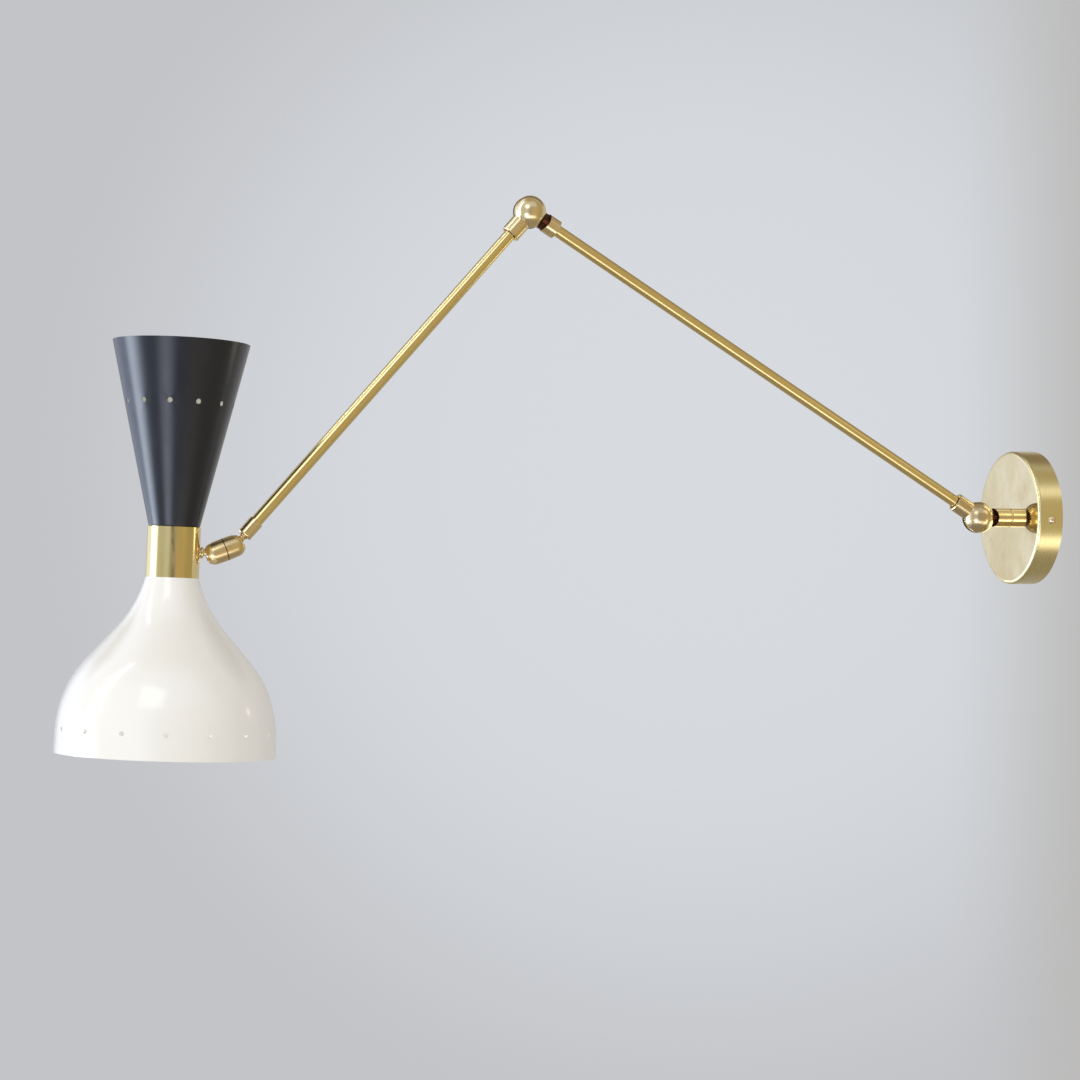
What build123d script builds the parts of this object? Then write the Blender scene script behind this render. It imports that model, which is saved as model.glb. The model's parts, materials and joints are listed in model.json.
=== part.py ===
from build123d import *
from math import cos, radians, sin, sqrt
import os

# Articulated brass wall lamp with two arms and a double shade.
# Millimetres. The origin is the centre of the canopy's back, on the wall.
# +X goes into the wall, +Z is up, and the arms reach out along -X in the XZ plane.

# Fits shared by all pieces
screw_fit = 0.03            # radial gap of a screwed or pressed joint
turning_fit = 0.05          # radial gap of a pin or ball that turns
passing_gap = 0.1           # radial gap of a hole that something only passes through
seat_gap = 0.3              # gap under a shoulder that turns close to a curved face
cut_overrun = 2.0           # how far a cut runs past the faces it opens

# Pose of the arms and the head, in degrees
inner_arm_angle = 31.4
outer_arm_angle = 48.7
barrel_angle = 20.9
head_lean = 2.0

# Distances between the pivots
wall_reach = 51.0           # wall to the wall knuckle's pivot
inner_arm_length = 473.6    # wall knuckle to elbow
outer_arm_length = 367.6    # elbow to the centre of the arm's ball
swivel_length = 17.0        # between the centres of the two balls
head_offset = 32.9          # centre of the head's ball to the head's axis

# Lamp tube and its thread
tube_radius = 5.0
tube_bore = 4.0
thread_depth = 10.0         # how far a tube or nipple screws into a collar

# Wires
wire_radius = 0.75
wire_gap = 0.1              # between the two wires of a twin
wire_clear = 1.0            # how far a wire stops short of the friction washer
lead_bend = 2.5

# Canopy, the cup against the wall
canopy_radius = 57.5
canopy_depth = 22.0
canopy_wall = 1.2
canopy_edge = 3.0
canopy_screw_height = 10.0  # from the wall to the side screws
canopy_angle = -3.0         # degrees that the side screws are turned about the stem

# Side screws of the canopy
side_screw_radius = 2.0
side_screw_length = 7.0
side_head_radius = 3.4
side_head_height = 1.9
side_slot_width = 0.8
side_slot_depth = 0.7

# Wall plate inside the canopy
plate_radius = 40.0
plate_thickness = 2.0
plate_wire_hole = 7.5       # radius of the hole for the house cable
plate_wire_rise = 12.5      # the hole's height above the centre
plate_slot_spacing = 60.0
plate_slot_length = 12.0
plate_slot_radius = 2.5
ear_width = 16.0
ear_height = 15.0

# Terminal block and its screws
block_drop = 26.0           # below the canopy's centre
block_width = 34.0
block_height = 16.0
block_depth = 11.0
block_edge = 0.8
pole_pitch = 11.0
pole_bore = 1.9
pole_height = 4.5           # from the plate to the wire holes
terminal_spacing = 9.0
terminal_screw_radius = 1.8
terminal_screw_length = 3.0
terminal_screw_inset = 0.6
block_screw_radius = 1.5
block_head_radius = 2.6
block_head_height = 1.6

# Earth screw
earth_rise = 26.0
earth_screw_radius = 2.0
earth_head_radius = 3.6
earth_head_height = 2.4
earth_washer_radius = 4.6
earth_washer_thickness = 0.8
earth_slot_width = 1.0
earth_slot_depth = 1.1

# Stack on the nipple that carries the stem
stem_washer_radius = 7.6
stem_washer_thickness = 0.8
stiffener_radius = 17.0
stiffener_thickness = 3.0
wave_washer_radius = 8.5
wave_washer_thickness = 1.0
lock_nut_half_width = 7.0
lock_nut_thickness = 4.0
jam_nut_thickness = 3.0
nipple_tail = 1.0           # how far the nipple stands out of its nuts

# Slotted ball knuckles at the wall and the elbow
ball_radius = 13.7
collar_radius = 8.0
ball_reach = 25.4           # pivot to the end of the ball's collar
tongue_reach = 27.0         # pivot to the end of the tongue's collar
wall_mouth_gap = 2.4        # between the ball and the hollow end of the tongue's collar
elbow_mouth_gap = 3.6
slot_width = 7.0
tongue_thickness = 3.4
tongue_half_width = 7.0
tongue_end_radius = 12.8    # the round end, almost flush with the ball
tongue_end_gap = 0.3        # between the round end and the round floor of the slot
tongue_thread_depth = 8.0
tooth_size = 1.0            # side of the square cut that leaves a V between two teeth
tooth_angle = 8.5           # degrees from tooth to tooth on the wall tongue's rim
toothed_angle = 250.0       # degrees of the rim that have teeth
lip_radius = 6.2            # countersink round the tube where it enters a collar
lip_depth = 1.6
collar_chamfer = 0.5
stem_chamfer = 0.3

# Pivot screw of a knuckle
pivot_radius = 2.5
pivot_blind_depth = 6.0     # thread in the near cheek
pivot_tip_gap = 0.3
pivot_recess_floor = 9.6    # from the middle of the ball to the head's seat
pivot_head_radius = 4.2
pivot_head_height = 2.6
pivot_recess_gap = 0.3
pivot_slot_width = 1.2
pivot_slot_depth = 1.1
friction_washer_radius = 5.0

# Collar at the end of the outer arm
end_collar_radius = 6.1
end_collar_start = 10.9     # from the centre of the arm's ball
end_collar_end = 26.2
end_thread_depth = 8.0
end_collar_edge = 1.6
end_lip_radius = 5.6
end_lip_depth = 1.0
ring_start = 14.2
ring_width = 0.8
ring_depth = 0.35

# Ball studs of the double swivel
stud_ball_radius = 6.5
stud_neck_radius = 2.6
stud_bore = 1.5
stud_spigot_radius = 3.0
stud_spigot_length = 5.0
arm_bead_radius = 3.6
arm_bead_length = 1.3
arm_bead_edge = 0.5
head_bead_radius = 4.6
head_bead_length = 2.3
head_bead_edge = 1.1
bead_hollow = 0.6           # rounding between a bead and the neck
head_spigot_stop = 6.0      # from the head's axis to the end of the stud

# Barrel that clamps the two balls
barrel_radius = 9.15        # at the seam
nose_radius = 8.9           # rounded end about a ball's centre
nose_length = 7.0           # from a ball's centre to the end of the barrel
nose_mouth_radius = 4.2
seam_chamfer = 0.3
neck_slot_gap = 0.3         # beside the neck in its slot
swivel_bend = 55.0          # largest bend of the neck in its slot, in degrees
notch_width = 1.6           # spanner notches in the rim
notch_depth = 1.2
spigot_radius = 7.6         # screwed joint of the two halves
spigot_bore = 6.7
spigot_length = 4.0
spigot_end_gap = 0.2
spacer_radius = 6.4
spacer_half_length = 3.2
spacer_bore = 1.8

# Head band and hub
band_radius = 21.0
band_wall = 1.5
band_top = 19.5             # above the stud's axis
band_bottom = 20.5          # below the stud's axis
hub_half_height = 9.0
hub_thread_depth = 6.0
hub_wire_hole = 2.5
hub_wire_spacing = 24.0
shade_nipple_reach = 7.0    # how far a nipple enters the lampholder's cap

# Cone shade, open at the top
cone_foot_radius = 20.1
cone_rim_radius = 54.1
cone_rim_height = 165.1     # above the stud's axis
cone_wall = 1.0
cone_foot_edge = 1.5
cone_hole_height = 116.7    # above the stud's axis
cone_hole_radius = 2.0
cone_hole_count = 12
cone_hole_phase = -77.9     # degrees about the head's axis

# Bell shade, open at the bottom, as a flare, a straight flank, a shoulder and a skirt
bell_neck_radius = 21.0
bell_neck_angle = 14.2      # degrees from the head's axis
bell_flare_radius = 96.3
bell_flank_angle = 41.4
bell_flank_length = 32.9
bell_shoulder_radius = 90.1
bell_skirt_angle = 1.7
bell_skirt_length = 17.8
bell_wall = 1.2
bell_hole_drop = 140.3      # below the stud's axis
bell_hole_radius = 1.9
bell_hole_count = 16
bell_hole_phase = 98.1

# Lampholders for E27 lamps, measured from the shade that each one clamps
cap_foot_radius = 13.0
cap_radius = 19.0
cap_slope_height = 8.0
cap_floor = 8.0
cap_ledge = 11.0
cap_height = 16.0
cap_inner_radius = 15.4
block_seat_radius = 16.6
contact_block_radius = 16.5
skirt_step = 22.0
skirt_shoulder = 20.0
skirt_height = 48.0
skirt_radius = 17.5
skirt_edge = 0.8
shell_ledge_bore = 12.6     # ledge that the screw shell stands on
shell_start = 23.5
shell_bore = 13.3
shell_wall = 0.6
shell_height = 46.0
contact_post_radius = 1.6
contact_post_height = 2.2
contact_radius = 3.2
contact_thickness = 0.8
holder_wire_offset = 1.6    # each wire's distance from the head's axis

ABOVE = (Align.CENTER, Align.CENTER, Align.MIN)
canopy_inside = canopy_depth - canopy_wall
slot_floor = sqrt(ball_radius ** 2 - collar_radius ** 2)
wire_side = (slot_width + tongue_thickness) / 4
wire_twin = wire_radius + wire_gap / 2


def rod(radius, start, end):
    """A solid cylinder about local Z."""
    return Pos(0, 0, start) * Cylinder(radius, end - start, align=ABOVE)


def pipe(radius, bore, start, end):
    """A tube about local Z."""
    return rod(radius, start, end) - rod(bore, start - cut_overrun, end + cut_overrun)


def block(width, depth, start, end):
    """A block centred on local Z."""
    return Pos(0, 0, start) * Box(width, depth, end - start, align=ABOVE)


def cross_rod(radius, start, end):
    """A solid cylinder about local Y."""
    return Rot(X=-90) * rod(radius, start, end)


def side_rod(radius, start, end):
    """A solid cylinder about local X."""
    return Rot(Y=90) * rod(radius, start, end)


def top_edges(shape):
    return shape.edges().group_by(Axis.Z)[-1]


def bottom_edges(shape):
    return shape.edges().group_by(Axis.Z)[0]


def arm_frame(point, angle):
    """A frame in the arm plane: Z along the angle measured up from -X, Y the hinge axis."""
    along = (-cos(radians(angle)), 0, sin(radians(angle)))
    across = (along[2], 0, -along[0])
    return Plane(origin=point, x_dir=across, z_dir=along)


def step(point, angle, length):
    """The point that lies a length away along an angle measured up from -X."""
    return (point[0] - length * cos(radians(angle)), 0, point[2] + length * sin(radians(angle)))


# Pivots and frames
turn_round = 180
wall_pivot = (-wall_reach, 0, 0)
elbow_pivot = step(wall_pivot, inner_arm_angle, inner_arm_length)
arm_ball_centre = step(elbow_pivot, -outer_arm_angle, outer_arm_length)
head_ball_centre = step(arm_ball_centre, -barrel_angle, swivel_length)
barrel_centre = step(arm_ball_centre, -barrel_angle, swivel_length / 2)
head_centre = step(head_ball_centre, head_lean, head_offset)

wall_frame = Plane(origin=(0, 0, 0), x_dir=(0, -1, 0), z_dir=(-1, 0, 0))
wall_tongue_frame = arm_frame(wall_pivot, turn_round)
inner_arm_frame = arm_frame(wall_pivot, inner_arm_angle)
elbow_tongue_frame = arm_frame(elbow_pivot, inner_arm_angle + turn_round)
outer_arm_frame = arm_frame(elbow_pivot, -outer_arm_angle)
arm_end_frame = arm_frame(arm_ball_centre, turn_round - outer_arm_angle)
barrel_arm_frame = arm_frame(barrel_centre, turn_round - barrel_angle)
barrel_head_frame = arm_frame(barrel_centre, -barrel_angle)
head_stud_frame = arm_frame(head_ball_centre, head_lean)

head_up = (sin(radians(head_lean)), 0, cos(radians(head_lean)))
head_down = (-head_up[0], 0, -head_up[2])
head_side = (head_up[2], 0, -head_up[0])
head_frame = Plane(origin=head_centre, x_dir=head_side, z_dir=head_up)
bell_frame = Plane(origin=head_centre, x_dir=head_side, z_dir=head_down)
upper_holder_frame = head_frame.offset(band_top + cone_wall)
lower_holder_frame = bell_frame.offset(band_bottom + bell_wall)

pieces = {}


# Screw with a domed or flat slotted head, its seat at local zero and its shank below
def screw(shank_radius, shank_length, head, slot_width_, slot_depth_, head_height):
    body = rod(shank_radius, -shank_length, 0) + head
    reach = 2 * shank_radius + 2 * head_height
    slot = block(2 * reach, slot_width_, head_height - slot_depth_, head_height + cut_overrun)
    return body - slot


def domed_head(radius, height):
    dome_radius = (radius ** 2 + height ** 2) / (2 * height)
    return Pos(0, 0, height - dome_radius) * Sphere(dome_radius) & rod(radius, 0, height)


# Canopy: a deep brass cup with a rounded front edge
def canopy():
    cup = fillet(top_edges(rod(canopy_radius, 0, canopy_depth)), canopy_edge)
    hollow = rod(canopy_radius - canopy_wall, -cut_overrun, canopy_inside)
    hollow = fillet(top_edges(hollow), canopy_edge - canopy_wall)
    stem_hole = rod(tube_radius + passing_gap, 0, canopy_depth + cut_overrun)
    reach = canopy_radius + cut_overrun
    side_holes = Pos(0, 0, canopy_screw_height) * side_rod(side_screw_radius + passing_gap, -reach, reach)
    return cup - hollow - stem_hole - Rot(Z=canopy_angle) * side_holes


def canopy_screws():
    head = domed_head(side_head_radius, side_head_height)
    slot = (side_slot_width, side_slot_depth)
    one = screw(side_screw_radius, side_screw_length, head, *slot, side_head_height)
    screws = []
    for side in (1, -1):
        seat = (side * canopy_radius, 0, canopy_screw_height)
        place = Plane(origin=seat, x_dir=(0, 0, -1), z_dir=(side, 0, 0))
        screws.append(Rot(Z=canopy_angle) * (place * one))
    return screws


# Wall plate: a steel disc with two bent ears that take the side screws
ear_reach = sqrt((canopy_radius - canopy_wall) ** 2 - (ear_width / 2) ** 2) - passing_gap


def wall_plate():
    strap = block(2 * ear_reach, ear_width, 0, plate_thickness)
    for side in (1, -1):
        ear = block(plate_thickness, ear_width, 0, ear_height)
        strap += Pos(side * (ear_reach - plate_thickness / 2), 0, 0) * ear
    screw_thread = side_rod(side_screw_radius + screw_fit, -canopy_radius, canopy_radius)
    strap -= Pos(0, 0, canopy_screw_height) * screw_thread
    plate = rod(plate_radius, 0, plate_thickness) + Rot(Z=canopy_angle) * strap
    through = plate_thickness + cut_overrun
    wire_hole = rod(plate_wire_hole, -cut_overrun, through)
    cuts = [Pos(0, plate_wire_rise, 0) * wire_hole]
    straight = plate_slot_length - 2 * plate_slot_radius
    for side in (1, -1):
        slot = block(straight, 2 * plate_slot_radius, -cut_overrun, through)
        for end in (1, -1):
            round_end = rod(plate_slot_radius, -cut_overrun, through)
            slot += Pos(end * straight / 2, 0, 0) * round_end
        cuts.append(Pos(side * plate_slot_spacing / 2, 0, 0) * slot)
    cuts.append(Pos(0, earth_rise, 0) * rod(earth_screw_radius + screw_fit, -cut_overrun, through))
    for side in (1, -1):
        hole = rod(block_screw_radius + screw_fit, -cut_overrun, through)
        cuts.append(Pos(side * pole_pitch / 2, -block_drop, 0) * hole)
    return plate - cuts


def earth_screw():
    head = rod(earth_head_radius, 0, earth_head_height)
    length = plate_thickness + earth_washer_thickness
    body = screw(earth_screw_radius, length, head, earth_slot_width, earth_slot_depth, earth_head_height)
    return Pos(0, earth_rise, length) * body


def earth_washer():
    ring = pipe(earth_washer_radius, earth_screw_radius + passing_gap, 0, earth_washer_thickness)
    return Pos(0, earth_rise, plate_thickness) * ring


# Terminal block: three poles, each with a wire hole and two screw wells
def pole_places():
    return [pole_pitch * place for place in (-1, 0, 1)]


def terminal_block():
    body = block(block_width, block_height, plate_thickness, plate_thickness + block_depth)
    body = chamfer(top_edges(body), block_edge)
    top = plate_thickness + block_depth
    cuts = []
    for x in pole_places():
        wire_hole = cross_rod(pole_bore, -block_height, block_height)
        cuts.append(Pos(x, 0, plate_thickness + pole_height) * wire_hole)
        for side in (1, -1):
            well = rod(terminal_screw_radius + screw_fit, plate_thickness + pole_height, top + cut_overrun)
            cuts.append(Pos(x, side * terminal_spacing / 2, 0) * well)
    for side in (1, -1):
        screw_hole = rod(block_screw_radius + passing_gap, 0, top + cut_overrun)
        cuts.append(Pos(side * pole_pitch / 2, 0, 0) * screw_hole)
    return Pos(0, -block_drop, 0) * (body - cuts)


def terminal_screws():
    top = plate_thickness + block_depth - terminal_screw_inset
    screws = []
    for x in pole_places():
        for side in (1, -1):
            body = rod(terminal_screw_radius, top - terminal_screw_length, top)
            screws.append(Pos(x, side * terminal_spacing / 2 - block_drop, 0) * body)
    return screws


def block_screws():
    head = rod(block_head_radius, 0, block_head_height)
    length = block_depth + plate_thickness
    one = screw(block_screw_radius, length, head, side_slot_width, side_slot_depth, block_head_height)
    return [Pos(side * pole_pitch / 2, -block_drop, length) * one for side in (1, -1)]


# Twin leads from two poles of the terminal block to the mouth of the nipple
stiffener_start = canopy_inside - stiffener_thickness
wave_start = stiffener_start - wave_washer_thickness
lock_start = wave_start - lock_nut_thickness
jam_start = lock_start - jam_nut_thickness
nipple_start = jam_start - nipple_tail


def supply_leads():
    leads = []
    level = plate_thickness + pole_height
    low = nipple_start - wire_clear - lead_bend
    for side in (1, -1):
        for twin in (wire_twin, -wire_twin):
            route = [
                (side * pole_pitch, -block_drop + block_height / 2 - pole_bore, level + twin),
                (side * pole_pitch, -block_drop + block_height, level + twin),
                (side * wire_side, -twin, low + twin),
                (side * wire_side, -twin, nipple_start - passing_gap),
            ]
            path = FilletPolyline(*route, radius=(lead_bend, lead_bend - twin))
            start = Plane(origin=route[0], z_dir=(0, 1, 0))
            leads.append(sweep(start * Circle(wire_radius), path=path))
    return leads


# Stack that holds the stem on the canopy
def hex_nut(start, end):
    nut = extrude(RegularPolygon(lock_nut_half_width, 6, major_radius=False), end - start)
    return Pos(0, 0, start) * nut - rod(tube_radius + screw_fit, start - cut_overrun, end + cut_overrun)


def stem_stack():
    outer_face = canopy_depth + stem_washer_thickness
    free_hole = tube_radius + passing_gap
    stiffener = pipe(stiffener_radius, free_hole, stiffener_start, canopy_inside)
    pieces["stem_stiffening_plate"] = wall_frame * stiffener
    pieces["stem_wave_washer"] = wall_frame * pipe(wave_washer_radius, free_hole, wave_start, stiffener_start)
    pieces["stem_lock_nut"] = wall_frame * hex_nut(lock_start, wave_start)
    pieces["stem_jam_nut"] = wall_frame * hex_nut(jam_start, lock_start)
    pieces["stem_seat_washer"] = wall_frame * pipe(stem_washer_radius, free_hole, canopy_depth, outer_face)
    nipple = pipe(tube_radius, tube_bore, nipple_start, outer_face + tongue_thread_depth)
    pieces["stem_nipple"] = wall_frame * nipple
    wires = wire_pair(nipple_start, wall_reach - friction_washer_radius - wire_clear)
    pieces["stem_wires"] = [wall_frame * Rot(Z=90) * wire for wire in wires]


def wire_pair(start, end):
    """Two twin wires along local Z, one twin on each side of the tongue."""
    wire = rod(wire_radius, start, end)
    return [Pos(twin, side * wire_side, 0) * wire for side in (1, -1) for twin in (wire_twin, -wire_twin)]


# Slotted ball with its collar, about the pivot at local zero
def knuckle_ball():
    collar = chamfer(top_edges(rod(collar_radius, 0, ball_reach)), collar_chamfer)
    body = Sphere(ball_radius) + collar
    far = ball_radius + cut_overrun
    seat = ball_reach - thread_depth
    slot_half = slot_width / 2
    cuts = [
        block(2 * far, slot_width, -far, slot_floor),
        cross_rod(tongue_end_radius + tongue_end_gap, -slot_half, slot_half),
        rod(tube_bore, 0, ball_reach),
        rod(tube_radius + screw_fit, seat, ball_reach + cut_overrun),
        rod(lip_radius, ball_reach - lip_depth, ball_reach + cut_overrun),
        cross_rod(pivot_radius + turning_fit, 0, far),
        cross_rod(pivot_head_radius + pivot_recess_gap, pivot_recess_floor, far),
        cross_rod(pivot_radius + screw_fit, -slot_half - pivot_blind_depth, 0),
    ]
    return body - cuts


# Round end of the tongue, plain or with a ring of V cuts in its rim
def tongue_end(toothed):
    half = tongue_thickness / 2
    disc = cross_rod(tongue_end_radius, -half, half)
    if not toothed:
        return disc
    count = int(toothed_angle / tooth_angle)
    tool = Rot(Y=45) * Box(tooth_size, 2 * tongue_thickness, tooth_size)
    tools = []
    for place in range(count + 1):
        angle = turn_round + (place - count / 2) * tooth_angle
        tools.append(Rot(Y=angle) * Pos(0, 0, tongue_end_radius) * tool)
    return disc - tools


# Tongue with its collar, hollowed at the mouth so that the ball can turn in it
def knuckle_tongue(reach, mouth_gap, with_lip, toothed):
    collar = rod(collar_radius, 0, reach)
    collar = chamfer(top_edges(collar), collar_chamfer if with_lip else stem_chamfer)
    seat = reach - tongue_thread_depth
    far = collar_radius + cut_overrun
    cuts = [
        cross_rod(ball_radius + mouth_gap, -far, far),
        rod(tube_bore, 0, reach),
        rod(tube_radius + screw_fit, seat, reach + cut_overrun),
    ]
    if with_lip:
        cuts.append(rod(lip_radius, reach - lip_depth, reach + cut_overrun))
    tongue = tongue_end(toothed) + block(2 * tongue_half_width, tongue_thickness, 0, seat)
    return collar - cuts + tongue - cross_rod(pivot_radius + turning_fit, -far, far)


def pivot_screw():
    head = rod(pivot_head_radius, 0, pivot_head_height)
    length = pivot_recess_floor + slot_width / 2 + pivot_blind_depth - pivot_tip_gap
    body = screw(pivot_radius, length, head, pivot_slot_width, pivot_slot_depth, pivot_head_height)
    return Rot(X=-90) * Pos(0, 0, pivot_recess_floor) * body


def friction_washers():
    ring = cross_rod(friction_washer_radius, tongue_thickness / 2, slot_width / 2)
    ring -= cross_rod(pivot_radius + turning_fit, 0, slot_width)
    return [ring, mirror(ring, Plane.XZ)]


def knuckle(name, tongue_plane, ball_plane, tongue):
    pieces[name + "_tongue"] = tongue_plane * tongue
    pieces[name + "_ball"] = ball_plane * knuckle_ball()
    pieces[name + "_pivot_screw"] = ball_plane * pivot_screw()
    pieces[name + "_friction_washers"] = [ball_plane * ring for ring in friction_washers()]


def arms():
    tube_start = ball_reach - thread_depth
    inner_end = inner_arm_length - tongue_reach + tongue_thread_depth
    outer_end = outer_arm_length - end_collar_end + end_thread_depth
    pieces["inner_arm_tube"] = inner_arm_frame * pipe(tube_radius, tube_bore, tube_start, inner_end)
    pieces["outer_arm_tube"] = outer_arm_frame * pipe(tube_radius, tube_bore, tube_start, outer_end)
    wire_start = tongue_end_radius + 2 * tongue_end_gap
    inner_wire_end = inner_arm_length - friction_washer_radius - wire_clear
    inner_wires = wire_pair(wire_start, inner_wire_end)
    outer_wires = wire_pair(wire_start, outer_end - wire_clear)
    pieces["inner_arm_wires"] = [inner_arm_frame * wire for wire in inner_wires]
    pieces["outer_arm_wires"] = [outer_arm_frame * wire for wire in outer_wires]


# Collar that closes the outer arm and holds the arm's ball stud
def arm_end_collar():
    body = rod(end_collar_radius, end_collar_start, end_collar_end)
    body = fillet(bottom_edges(body), end_collar_edge)
    body = chamfer(top_edges(body), stem_chamfer)
    seat = end_collar_end - end_thread_depth
    ring_bore = end_collar_radius - ring_depth
    ring = pipe(end_collar_radius + cut_overrun, ring_bore, ring_start, ring_start + ring_width)
    cuts = [
        rod(stud_spigot_radius + turning_fit, end_collar_start - cut_overrun, end_collar_end),
        rod(tube_radius + screw_fit, seat, end_collar_end + cut_overrun),
        rod(end_lip_radius, end_collar_end - end_lip_depth, end_collar_end + cut_overrun),
        ring,
    ]
    return body - cuts


# Ball stud: a bored ball, a neck, a bead and a spigot
def ball_stud(bead_radius, bead_length, bead_edge, shoulder, spigot_end):
    bead = rod(bead_radius, shoulder - bead_length, shoulder)
    bead = fillet(top_edges(bead) + bottom_edges(bead), bead_edge)
    bead += rod(stud_neck_radius, 0, shoulder)
    circles = bead.edges().filter_by(GeomType.CIRCLE)
    neck_edges = [edge for edge in circles if abs(edge.radius - stud_neck_radius) < passing_gap]
    bead = fillet(max(neck_edges, key=lambda edge: edge.center().Z), bead_hollow)
    body = Sphere(stud_ball_radius) + bead + rod(stud_spigot_radius, shoulder - bead_length / 2, spigot_end)
    return body - rod(stud_bore, -stud_ball_radius - cut_overrun, spigot_end + cut_overrun)


# One half of the barrel, from the seam at local zero to its rounded and slotted nose
def barrel_half(slot_side, male):
    centre = swivel_length / 2
    end = centre + nose_length
    nose_end_radius = sqrt(nose_radius ** 2 - nose_length ** 2)
    nose_mid = radians(Vector(nose_end_radius, nose_length).get_angle(Vector(1, 0)) / 2)
    side = TangentArc((barrel_radius, 0), (nose_radius, centre), tangent=(0, 1))
    nose = ThreePointArc(
        (nose_radius, centre),
        (nose_radius * cos(nose_mid), centre + nose_radius * sin(nose_mid)),
        (nose_end_radius, end),
    )
    rest = Polyline((nose_end_radius, end), (0, end), (0, 0), (barrel_radius, 0))
    outline = make_face([side, nose, rest])
    body = revolve(Plane.XZ * outline, Axis.Z)
    body = chamfer(bottom_edges(body), seam_chamfer)
    socket = stud_ball_radius + turning_fit
    neck_start = sqrt(stud_ball_radius ** 2 - stud_neck_radius ** 2)
    bend = radians(swivel_bend)
    floor = centre + neck_start * cos(bend) - (stud_neck_radius + neck_slot_gap) * sin(bend) - neck_slot_gap
    slot_half = stud_neck_radius + neck_slot_gap
    slot = block(barrel_radius + cut_overrun, 2 * slot_half, floor, end + cut_overrun)
    cuts = [
        Pos(0, 0, centre) * Sphere(socket),
        rod(socket, -cut_overrun, centre),
        rod(nose_mouth_radius, centre, end + cut_overrun),
        Pos(slot_side * (barrel_radius + cut_overrun) / 2, 0, 0) * slot,
        block(notch_width, 2 * barrel_radius, end - notch_depth, end + cut_overrun),
    ]
    if not male:
        cuts.append(rod(spigot_radius + screw_fit, -cut_overrun, spigot_length + spigot_end_gap))
    body -= cuts
    if male:
        body += pipe(spigot_radius, spigot_bore, -spigot_length, seam_chamfer)
    return body


def swivel_spacer():
    body = rod(spacer_radius, -spacer_half_length, spacer_half_length)
    for side in (1, -1):
        body -= Pos(0, 0, side * swivel_length / 2) * Sphere(stud_ball_radius + turning_fit)
    return body - rod(spacer_bore, -spacer_half_length, spacer_half_length)


def double_swivel():
    spigot_end = end_collar_start + stud_spigot_length
    arm_stud = ball_stud(arm_bead_radius, arm_bead_length, arm_bead_edge, end_collar_start, spigot_end)
    pieces["arm_ball_stud"] = arm_end_frame * arm_stud
    pieces["barrel_arm_half"] = barrel_arm_frame * barrel_half(-1, True)
    pieces["barrel_head_half"] = barrel_head_frame * barrel_half(1, False)
    pieces["swivel_spacer"] = barrel_arm_frame * swivel_spacer()
    shoulder = head_offset - band_radius - seat_gap
    stud_end = head_offset - head_spigot_stop
    head_stud = ball_stud(head_bead_radius, head_bead_length, head_bead_edge, shoulder, stud_end)
    pieces["head_ball_stud"] = head_stud_frame * head_stud


# Band: a brass sleeve that the two shades close
def head_band():
    body = pipe(band_radius, band_radius - band_wall, -band_bottom, band_top)
    return body - side_rod(stud_spigot_radius + passing_gap, 0, band_radius + cut_overrun)


# Hub: a turned brass disc that takes the stud from the side and a nipple at each end
def head_hub():
    body = rod(band_radius - band_wall - passing_gap, -hub_half_height, hub_half_height)
    thread_end = hub_half_height - hub_thread_depth
    through = hub_half_height + cut_overrun
    cuts = [
        rod(tube_bore, -through, through),
        rod(tube_radius + screw_fit, thread_end, through),
        rod(tube_radius + screw_fit, -through, -thread_end),
        side_rod(stud_spigot_radius + turning_fit, 0, band_radius),
    ]
    for side in (1, -1):
        cuts.append(Pos(0, side * hub_wire_spacing / 2, 0) * rod(hub_wire_hole, -through, through))
    return body - cuts


def shade_nipple(seat):
    start = hub_half_height - hub_thread_depth
    return pipe(tube_radius, tube_bore, start, seat + shade_nipple_reach)


def radial_holes(radius, reach, count, phase, height):
    """Tools for a ring of holes that point away from local Z."""
    tools = []
    for place in PolarLocations(0, count, start_angle=phase):
        tools.append(Pos(0, 0, height) * place * side_rod(radius, 0, reach))
    return tools


# Cone shade: a floor with a nipple hole and a straight wall
def cone_shade():
    height = cone_rim_height - band_top
    slope = (cone_rim_radius - cone_foot_radius) / height
    wall_across = cone_wall * sqrt(1 + slope ** 2)
    outline = Polyline(
        (0, band_top),
        (cone_foot_radius, band_top),
        (cone_rim_radius, cone_rim_height),
        (cone_rim_radius - wall_across, cone_rim_height),
        (cone_foot_radius + slope * cone_wall - wall_across, band_top + cone_wall),
        (0, band_top + cone_wall),
        (0, band_top),
    )
    body = revolve(Plane.XZ * make_face(outline), Axis.Z)
    body = fillet(bottom_edges(body), cone_foot_edge)
    body -= rod(tube_radius + passing_gap, 0, band_top + cone_wall + cut_overrun)
    reach = cone_rim_radius + cut_overrun
    return body - radial_holes(cone_hole_radius, reach, cone_hole_count, cone_hole_phase, cone_hole_height)


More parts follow.
